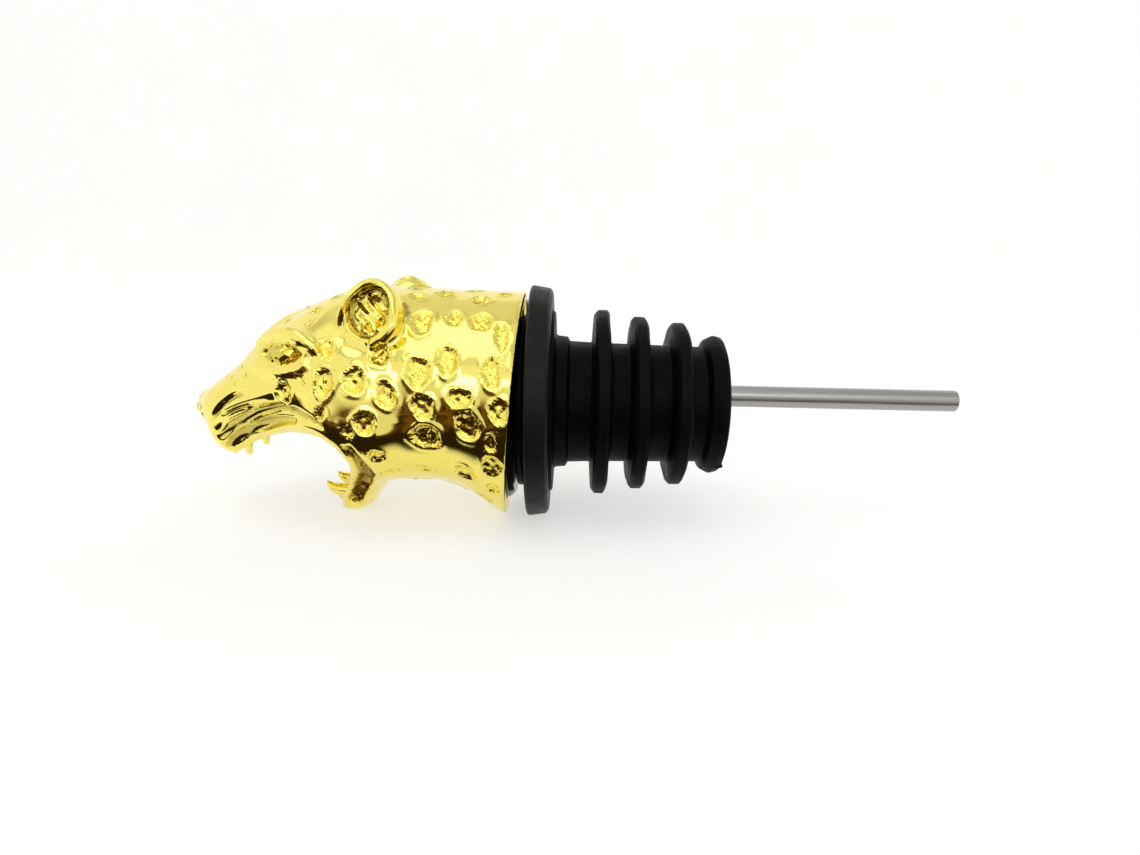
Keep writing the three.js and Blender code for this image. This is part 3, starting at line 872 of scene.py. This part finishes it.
# ---------------------------------------------------------------- pieces
# Millimetres about the stopper's axis, as in the CAD part.
SLEEVE_BORE_R = 5.3
SPIGOT_R = 5.0
SPIGOT_BORE_R = 3.8
SPIGOT_END = 19.5
PLUG_R = 13.7
PLUG_BOSS_R = 9.0
PLUG_REAR = -4.7
PLUG_STEP = -7.8
PLUG_FRONT = -14.5
PLUG_POCKET_R = 5.3
PLUG_POCKET_FLOOR = -7.5
SEAL_R = 12.0
SEAL_FRONT = -4.4
SEAL_REAR = -3.3
DUCT_R = 5.0
DUCT_BORE_R = 4.3
DUCT_FRONT = -25.5
FLANGE_R = 16.2
FLANGE_FRONT = -3.0
FLANGE_RECESS_R = 13.0
FLANGE_RECESS = -0.9
SLEEVE_COLLAR_R = 12.7
SLEEVE_END = 23.7
TUBE_R = 1.5
TUBE_BORE_R = 1.15
TUBE_RISE = 1.3
TUBE_HEAD_END = -21.5
TUBE_TIP = 57.4


def make_head():
    """The cast leopard's head."""
    field = head_field()
    full = mirrored(field.d)
    low = np.array([GRID_LOW[0], -(full.shape[1] - 1) / 2 * CELL, GRID_LOW[2]])
    verts, quads = surface_nets(full, low, CELL)
    verts, normals = settle(full, low, verts)
    head = mesh_object("head_casting", to_frame(verts), quads, normals)
    index = np.clip(np.round((verts - low) / CELL).astype(int), 0, np.array(full.shape) - 1)
    # The recess mask carries the grain and a painted shade tone; the other mask carries painted shade in
    # creases and hollows.
    for name, share in (("recess", field.recess), ("painted_shade_and_dull", field.painted_shade_and_dull)):
        store(head.data, name, mirrored(share)[tuple(index.T)])
    return head


def make_plug():
    """The glossy plastic plug that closes the back of the head, with the spigot the stopper sits on."""
    outline = rounded([
        (PLUG_REAR, SPIGOT_R, 0.25),
        (PLUG_REAR, PLUG_R - 0.7, 0.3),
        (PLUG_REAR - 0.7, PLUG_R, 0.3),
        (PLUG_STEP, PLUG_R, 0.2),
        (PLUG_STEP, PLUG_BOSS_R, 0.2),
        (PLUG_FRONT, PLUG_BOSS_R, 0.3),
        (PLUG_FRONT, PLUG_POCKET_R, 0.2),
        (PLUG_POCKET_FLOOR, PLUG_POCKET_R, 0.1),
        (PLUG_POCKET_FLOOR, SPIGOT_BORE_R, 0.1),
        (SPIGOT_END, SPIGOT_BORE_R, 0.3),
        (SPIGOT_END, SPIGOT_R - 0.5, 0.3),
        (SPIGOT_END - 0.8, SPIGOT_R, 0.3),
    ])
    return revolved("end_plug", outline, 160)


def make_seal():
    """The flat rubber ring between the plug and the flange."""
    outline = rounded([
        (SEAL_FRONT, SLEEVE_BORE_R, 0.15),
        (SEAL_FRONT, SEAL_R, 0.4),
        (SEAL_REAR, SEAL_R, 0.4),
        (SEAL_REAR, SLEEVE_BORE_R, 0.15),
    ])
    return revolved("seal_washer", outline, 128)


def make_duct():
    """The plastic duct that leads the liquor to the mouth."""
    outline = rounded([
        (DUCT_FRONT, DUCT_BORE_R, 0.15),
        (DUCT_FRONT, DUCT_R, 0.3),
        (PLUG_STEP, DUCT_R, 0.1),
        (PLUG_STEP, DUCT_BORE_R, 0.1),
    ])
    return revolved("liquor_duct", outline, 96)


def make_flange():
    """The big rubber flange that sits on the bottle's lip."""
    outline = rounded([
        (FLANGE_FRONT, SLEEVE_BORE_R, 0.15),
        (FLANGE_FRONT, FLANGE_R - 0.3, 0.35),
        (FLANGE_FRONT + 0.3, FLANGE_R, 0.3),
        (-0.35, FLANGE_R - 0.35, 0.3),
        (0.0, FLANGE_R - 0.85, 0.3),
        (0.0, FLANGE_RECESS_R + 0.1, 0.12),
        (FLANGE_RECESS, FLANGE_RECESS_R, 0.12),
        (FLANGE_RECESS, SLEEVE_BORE_R, 0.15),
    ])

    def moulded(x, r, angle):
        edge = np.clip((r - 14.5) / 1.5, 0, 1)
        r = r + edge * (0.04 * np.sin(3 * angle + 0.7) + 0.025 * np.sin(7 * angle + 2.1))
        return x, r + edge * mould_seam(angle, 0.05, 0.012)

    return revolved("rubber_flange", outline, 224, moulded)


# Fins of the stopper: [x of the tip's middle, radius of the tip, radius of the neck behind it].
FINS = [(6.85, 13.0, 8.4), (12.05, 12.1, 8.3), (17.5, 11.5, 8.2)]
FIN_TIP = 1.95
FIN_ROOT = 2.6


def make_sleeve():
    """The finned rubber stopper."""
    corners = [
        (-0.6, SLEEVE_BORE_R, 0.1),
        (-0.6, SLEEVE_COLLAR_R, 0.3),
        (0.42, SLEEVE_COLLAR_R, 0.3),
        (0.6, 9.35, 0.5),
        (2.2, 9.2, 0.25),
        (2.5, 8.6, 0.25),
    ]
    front_neck = 8.45
    for x, tip, rear_neck in FINS:
        corners += [
            (x - FIN_ROOT / 2, front_neck, 0.35),
            (x - FIN_TIP / 2, tip - 0.5, 0.25),
            (x - FIN_TIP / 2 + 0.4, tip, 0.25),
            (x + FIN_TIP / 2 - 0.35, tip, 0.25),
            (x + FIN_TIP / 2, tip - 0.45, 0.25),
            (x + FIN_ROOT / 2, rear_neck, 0.45),
        ]
        front_neck = rear_neck - 0.05
    corners += [
        (20.9, 8.15, 0.3),
        (21.35, 9.2, 0.4),
        (22.5, 9.75, 0.5),
        (23.45, 9.5, 0.3),
        (SLEEVE_END, 8.9, 0.2),
        (SLEEVE_END, SLEEVE_BORE_R, 0.2),
    ]

    def moulded(x, r, angle):
        proud = np.clip((r - 9.0) / 1.0, 0, 1) * (x > 3)
        seam = mould_seam(angle, 0.05, 0.014) * (r > 6)
        sway = 0.06 * proud * np.sin(angle * 2 + 0.45 * x)
        wave = 0.05 * proud * np.sin(5 * angle + 0.9 * x) + 0.03 * proud * np.sin(11 * angle - 0.5 * x)
        # Torn flash where the mould's halves met, on the lower rear edge of each fin and on the end.
        torn = np.exp(-((angle_from(angle, math.radians(-88)) / 0.03) ** 2)) * proud
        nub = np.exp(-((angle_from(angle, math.radians(-128)) / 0.035) ** 2)) * (x > 22.4) * (r > 9.0)
        x = x + wave + 0.28 * torn * np.clip((r - 9.2) / 0.4, 0, 1) + 0.3 * nub
        return x, r + seam + sway + 0.12 * torn + 0.15 * nub

    return revolved("finned_stopper", rounded(corners), 256, moulded)


def make_tube():
    """The steel air tube, with its end cut square and tumbled."""
    outline = rounded([
        (TUBE_HEAD_END, TUBE_BORE_R, 0.1),
        (TUBE_HEAD_END, TUBE_R, 0.2),
        (TUBE_TIP, TUBE_R, 0.3),
        (TUBE_TIP, TUBE_BORE_R, 0.12),
    ])
    return revolved("breather_tube", outline, 72, axis_z=TUBE_RISE)


# ---------------------------------------------------------------- materials
def set_range(node, low, high, out_low, out_high):
    """Sets what a Map Range node takes in and gives out."""
    sockets = ("From Min", "From Max", "To Min", "To Max")
    for socket, number in zip(sockets, (low, high, out_low, out_high)):
        node.inputs[socket].default_value = number


class Look:
    """One procedural material around a Principled shader."""

    def __init__(self, name, **constants):
        self.material = bpy.data.materials.new(name)
        self.material.use_nodes = True
        self.tree = self.material.node_tree
        self.shader = self.tree.nodes["Principled BSDF"]
        for socket, value in constants.items():
            self.shader.inputs[socket.replace("_", " ")].default_value = value
        self.place = self.node("ShaderNodeTexCoord").outputs["Object"]

    def node(self, kind, **properties):
        made = self.tree.nodes.new(kind)
        for key, value in properties.items():
            setattr(made, key, value)
        return made

    def join(self, source, target):
        self.tree.links.new(source, target)

    def stretched(self, scale):
        """The object's coordinates scaled along each axis."""
        mapping = self.node("ShaderNodeMapping")
        mapping.inputs["Scale"].default_value = scale
        self.join(self.place, mapping.inputs["Vector"])
        return mapping.outputs["Vector"]

    def noise(self, scale, detail=3.0, roughness=0.5, at=None):
        made = self.node("ShaderNodeTexNoise")
        made.inputs["Scale"].default_value = scale
        made.inputs["Detail"].default_value = detail
        made.inputs["Roughness"].default_value = roughness
        self.join(at or self.place, made.inputs["Vector"])
        return made.outputs["Fac"]

    def cells(self, scale, at=None):
        made = self.node("ShaderNodeTexVoronoi", feature="F1")
        made.inputs["Scale"].default_value = scale
        self.join(at or self.place, made.inputs["Vector"])
        return made.outputs["Distance"]

    def attribute(self, name):
        return self.node("ShaderNodeAttribute", attribute_name=name).outputs["Fac"]

    def between(self, value, low, high, out_low=0.0, out_high=1.0):
        made = self.node("ShaderNodeMapRange")
        self.join(value, made.inputs["Value"])
        set_range(made, low, high, out_low, out_high)
        return made.outputs["Result"]

    def math(self, operation, a, b):
        made = self.node("ShaderNodeMath", operation=operation)
        for socket, value in zip(made.inputs, (a, b)):
            if isinstance(value, (int, float)):
                socket.default_value = value
            else:
                self.join(value, socket)
        return made.outputs[0]

    def mix(self, share, a, b):
        """A colour between a and b; either is a colour or another node's output."""
        made = self.node("ShaderNodeMix", data_type="RGBA")
        self.join(share, made.inputs["Factor"])
        for socket, value in ((made.inputs[6], a), (made.inputs[7], b)):
            if isinstance(value, tuple):
                socket.default_value = (*value, 1.0)
            else:
                self.join(value, socket)
        return made.outputs[2]

    def bump(self, height, distance, strength=1.0, onto=None):
        made = self.node("ShaderNodeBump")
        made.inputs["Strength"].default_value = strength
        made.inputs["Distance"].default_value = distance
        self.join(height, made.inputs["Height"])
        if onto is not None:
            self.join(onto, made.inputs["Normal"])
        return made.outputs["Normal"]

    def drive(self, **outputs):
        for socket, value in outputs.items():
            self.join(value, self.shader.inputs[socket.replace("_", " ")])
        return self.material


def gold_plate():
    """Polished gold plate over a casting, rougher where the tumbling never reached, with painted shade
    darkening its recesses, creases and hollows.
    """
    look = Look("polished_gold_plate", Metallic=1.0)
    recess = look.attribute("recess")
    painted_shade_and_dull = look.attribute("painted_shade_and_dull")
    tone = look.mix(look.noise(90.0, 2.0), (0.965, 0.83, 0.20), (0.93, 0.78, 0.16))
    # Painted shade: recesses get a darker, more orange tone.
    tone = look.mix(recess, tone, (0.93, 0.75, 0.125))
    # Painted shade: creases and hollows are painted a dark brown.
    painted_shade_tone = look.mix(look.noise(1100.0, 3.0), (0.13, 0.085, 0.012), (0.50, 0.36, 0.06))
    tone = look.mix(painted_shade_and_dull, tone, painted_shade_tone)
    polish = look.between(look.noise(420.0, 4.0), 0.3, 0.7, 0.05, 0.10)
    rough = look.math("ADD", polish, look.math("MULTIPLY", recess, 0.06))
    rough = look.math("ADD", rough, look.math("MULTIPLY", painted_shade_and_dull, 0.10))
    orange_peel = look.bump(look.noise(190.0, 2.0), 0.00008)
    grain = look.math("MULTIPLY", look.cells(1300.0), recess)
    return look.drive(
        Base_Color=tone, Roughness=rough, Normal=look.bump(grain, 0.00012, onto=orange_peel)
    )


def gloss_plastic():
    """Glossy black moulded plastic with faint handling marks."""
    look = Look("glossy_black_plastic", IOR=1.5)
    tone = look.mix(look.noise(160.0), (0.0035, 0.0035, 0.0035), (0.007, 0.0065, 0.006))
    scratches = look.noise(900.0, 3.0, at=look.stretched((1.0, 8.0, 1.0)))
    rough = look.between(scratches, 0.3, 0.75, 0.08, 0.2)
    return look.drive(Base_Color=tone, Roughness=rough, Normal=look.bump(look.noise(300.0, 2.0), 0.00004))


def rubber(name, pale, shine):
    """Matt black moulded rubber with a fine mould texture, bloom and a few specks of dust."""
    look = Look(name, Specular_IOR_Level=shine)
    deep = tuple(pale * tone for tone in (0.0014, 0.0014, 0.0012))
    bloom = tuple(pale * tone for tone in (0.0032, 0.0032, 0.0026))
    tone = look.mix(look.noise(130.0, 4.0), deep, bloom)
    specks = look.between(look.cells(330.0), 0.035, 0.02)
    tone = look.mix(look.math("MULTIPLY", specks, 0.3), tone, (0.13, 0.13, 0.12))
    rough = look.between(look.noise(700.0, 4.0), 0.3, 0.7, 0.36, 0.52)
    skin = look.bump(look.noise(2600.0, 3.0), 0.00003)
    normal = look.bump(look.noise(260.0, 3.0), 0.00008, onto=skin)
    return look.drive(Base_Color=tone, Roughness=rough, Normal=normal)


def satin_plastic():
    """Satin black plastic of the inner duct and the tube's holder."""
    look = Look("satin_black_plastic", IOR=1.46)
    tone = look.mix(look.noise(200.0), (0.008, 0.008, 0.009), (0.014, 0.014, 0.015))
    rough = look.between(look.noise(1500.0, 3.0), 0.3, 0.7, 0.32, 0.45)
    return look.drive(Base_Color=tone, Roughness=rough, Normal=look.bump(look.noise(1800.0, 2.0), 0.00003))


def steel():
    """Drawn stainless tube, with drawing lines along its length."""
    look = Look("drawn_stainless_steel", Metallic=1.0)
    lines = look.noise(2600.0, 3.0, 0.6, at=look.stretched((0.012, 1.0, 1.0)))
    tone = look.mix(lines, (0.32, 0.31, 0.295), (0.43, 0.42, 0.405))
    rough = look.between(lines, 0.3, 0.7, 0.24, 0.36)
    return look.drive(Base_Color=tone, Roughness=rough, Normal=look.bump(lines, 0.00003))


# ---------------------------------------------------------------- camera, lights and stage
CAMERA_DISTANCE = 0.1
CAMERA_ELEVATION = math.radians(13.0)
CAMERA_ROLL = math.radians(1.3)
CAMERA_ASIDE = 0.002657
CAMERA_DOWN = 0.003786
FOCAL_LENGTH = 22.1


def make_camera():
    """Level with the head's cheek, a little above the axis and very close."""
    ahead = Vector((0, math.cos(CAMERA_ELEVATION), -math.sin(CAMERA_ELEVATION)))
    level_up = Vector((0, math.sin(CAMERA_ELEVATION), math.cos(CAMERA_ELEVATION)))
    across = Vector((1, 0, 0))
    right = math.cos(CAMERA_ROLL) * across + math.sin(CAMERA_ROLL) * level_up
    up = math.cos(CAMERA_ROLL) * level_up - math.sin(CAMERA_ROLL) * across
    data = bpy.data.cameras.new("camera")
    data.lens = FOCAL_LENGTH
    data.sensor_width = 36.0
    data.clip_start = 0.005
    data.clip_end = 20.0
    camera = bpy.data.objects.new("camera", data)
    bpy.context.scene.collection.objects.link(camera)
    place = Vector(AXIS_POINT) - CAMERA_DISTANCE * ahead + CAMERA_ASIDE * right - CAMERA_DOWN * up
    turn = Matrix((right, up, -ahead)).transposed().to_4x4()
    camera.matrix_world = Matrix.Translation(place) @ turn
    bpy.context.scene.camera = camera


def area_light(name, place, target, size, power):
    data = bpy.data.lights.new(name, "AREA")
    data.shape = "RECTANGLE"
    data.size, data.size_y = size
    data.energy = power
    light = bpy.data.objects.new(name, data)
    bpy.context.scene.collection.objects.link(light)
    light.location = place
    light.rotation_euler = (Vector(target) - Vector(place)).to_track_quat("-Z", "Y").to_euler()
    return light


def make_world(strength):
    world = bpy.data.worlds.new("studio")
    world.use_nodes = True
    world.node_tree.nodes["Background"].inputs["Color"].default_value = (1.0, 1.0, 0.99, 1.0)
    nodes, links = world.node_tree.nodes, world.node_tree.links
    cloud = nodes.new("ShaderNodeTexNoise")
    cloud.inputs["Scale"].default_value = 1.8
    cloud.inputs["Detail"].default_value = 1.0
    links.new(nodes.new("ShaderNodeTexCoord").outputs["Generated"], cloud.inputs["Vector"])
    level = nodes.new("ShaderNodeMapRange")
    set_range(level, 0.38, 0.6, 0.66 * strength, 1.08 * strength)
    links.new(cloud.outputs["Fac"], level.inputs["Value"])
    links.new(level.outputs["Result"], nodes["Background"].inputs["Strength"])
    bpy.context.scene.world = world


def make_floor():
    """A white paper floor that sweeps up into a wall all round."""
    flat, rise, segments = 0.55, 0.5, 96
    bend = np.linspace(0, math.pi / 2, 20)
    radius = np.concatenate([[0.02, 0.1, 0.3], flat + rise * np.sin(bend), [flat + rise]])
    height = np.concatenate([[0.0, 0.0, 0.0], rise * (1 - np.cos(bend)), [1.0]])
    turn = np.linspace(0, 2 * math.pi, segments, endpoint=False)
    rings = [np.zeros((segments, 3))]
    for r, h in zip(radius, height):
        rings.append(np.column_stack([r * np.cos(turn), r * np.sin(turn), np.full(segments, h)]))
    points = np.concatenate(rings)
    i = np.arange(len(rings) - 1)[:, None] * segments
    j = np.arange(segments)[None, :]
    nextj = (j + 1) % segments
    faces = np.stack([i + j, i + segments + j, i + segments + nextj, i + nextj], axis=-1).reshape(-1, 4)
    floor = mesh_object("floor", points, faces)
    look = Look("white_paper", Roughness=0.7, Specular_IOR_Level=0.1, Emission_Strength=0.56)
    look.shader.inputs["Emission Color"].default_value = (1.0, 1.0, 0.985, 1.0)
    tone = look.mix(look.noise(6.0), (0.43, 0.43, 0.425), (0.45, 0.45, 0.445))
    floor.data.materials.append(look.drive(Base_Color=tone))


def make_dim_room():
    """The dim room in front of the table, seen only in the polished metal: it starts a little way
    in front of the head, runs out along the table and then up behind the camera."""
    run = [(-0.017, 0.0006), (-0.10, 0.0006), (-0.18, 0.0008), (-0.27, 0.003)]
    run += [(-0.35, 0.02), (-0.39, 0.06), (-0.41, 0.11), (-0.42, 0.17)]
    length = np.concatenate([[0.0], np.cumsum([math.dist(a, b) for a, b in zip(run, run[1:])])])
    along = np.concatenate([np.linspace(0.0, 0.03, 16), np.linspace(0.035, length[-1], 50)])
    depth = np.interp(along, length, [point[0] for point in run])
    height = np.interp(along, length, [point[1] for point in run])
    across = np.linspace(-1.0, 1.0, 41)
    points = np.array([(u * (0.1 - 0.7 * y), y, z) for y, z in zip(depth, height) for u in across])
    row = len(across)
    starts = [j * row + i for j in range(len(along) - 1) for i in range(row - 1)]
    faces = [(k, k + 1, k + row + 1, k + row) for k in starts]
    card = mesh_object("dim_room", points, faces)
    rise = np.degrees(np.arctan2(height - 0.02, -depth - 0.012))[:, None]
    top = np.interp(across, [-0.5, -0.3, -0.05, 0.3], [12.0, 8.0, -12.0, -16.0])[None, :]
    near = np.interp(across, [-0.45, -0.2, 0.0], [-88.0, -74.0, -70.0])[None, :]
    sides = step(1.0, 0.8, np.abs(across))[None, :]
    fade = step(near, near + 12.0, rise) * step(top + 8.0, top - 6.0, rise) * sides
    store(card.data, "shade", fade.ravel())
    store(card.data, "warm", np.broadcast_to(step(-34.0, -14.0, rise), fade.shape).ravel())
    look = Look("dim_room", Specular_IOR_Level=0.0, Roughness=1.0, Emission_Strength=1.0)
    look.shader.inputs["Base Color"].default_value = (0.0, 0.0, 0.0, 1.0)
    warm = look.math("MULTIPLY", look.attribute("warm"), look.between(look.noise(14.0, 2.0), 0.35, 0.6))
    dim = look.mix(warm, (0.022, 0.013, 0.004), (0.22, 0.10, 0.03))
    look.drive(Emission_Color=look.mix(look.attribute("shade"), (0.82, 0.82, 0.80), dim))
    card.data.materials.append(look.material)
    card.visible_camera = False
    card.visible_diffuse = False
    card.visible_shadow = False


# ---------------------------------------------------------------- putting it together
def dress(piece, body, slot, material, *nodes):
    """Gives a piece its material and its body, and hides the CAD nodes that it stands in for."""
    piece.data.materials.clear()
    piece.data.materials.append(material)
    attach(piece, body)
    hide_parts(*nodes)


bpy.context.scene.view_settings.view_transform = "Standard"
make_camera()
make_world(0.98)
make_floor()
make_dim_room()
area_light("key", (-0.15, -0.25, 0.75), (0, 0, 0), (0.5, 0.5), 0.9)
area_light("front_strip", (0.0, -0.45, 0.26), (0, 0, 0.02), (0.5, 0.08), 0.35)

black_rubber = rubber("black_moulded_rubber", 0.75, 0.05)
dress(make_head(), "head", "gold_plate", gold_plate(), "leopard_head")
dress(make_plug(), "head", "gloss_black_plastic", gloss_plastic(), "back_plug")
dress(make_seal(), "head", "black_rubber", black_rubber, "seal_ring")
inner_plastic = satin_plastic()
dress(make_duct(), "head", "black_plastic", inner_plastic, "pour_duct")
dress(make_flange(), "washer", "black_rubber", rubber("dusty_black_rubber", 1.7, 0.16), "flange_washer")
dress(make_sleeve(), "stopper", "black_rubber", black_rubber, "stopper_sleeve")
dress(make_tube(), "tube", "stainless_steel", steel(), "air_tube")
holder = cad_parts["tube_holder"]
holder.data.materials.clear()
holder.data.materials.append(inner_plastic)
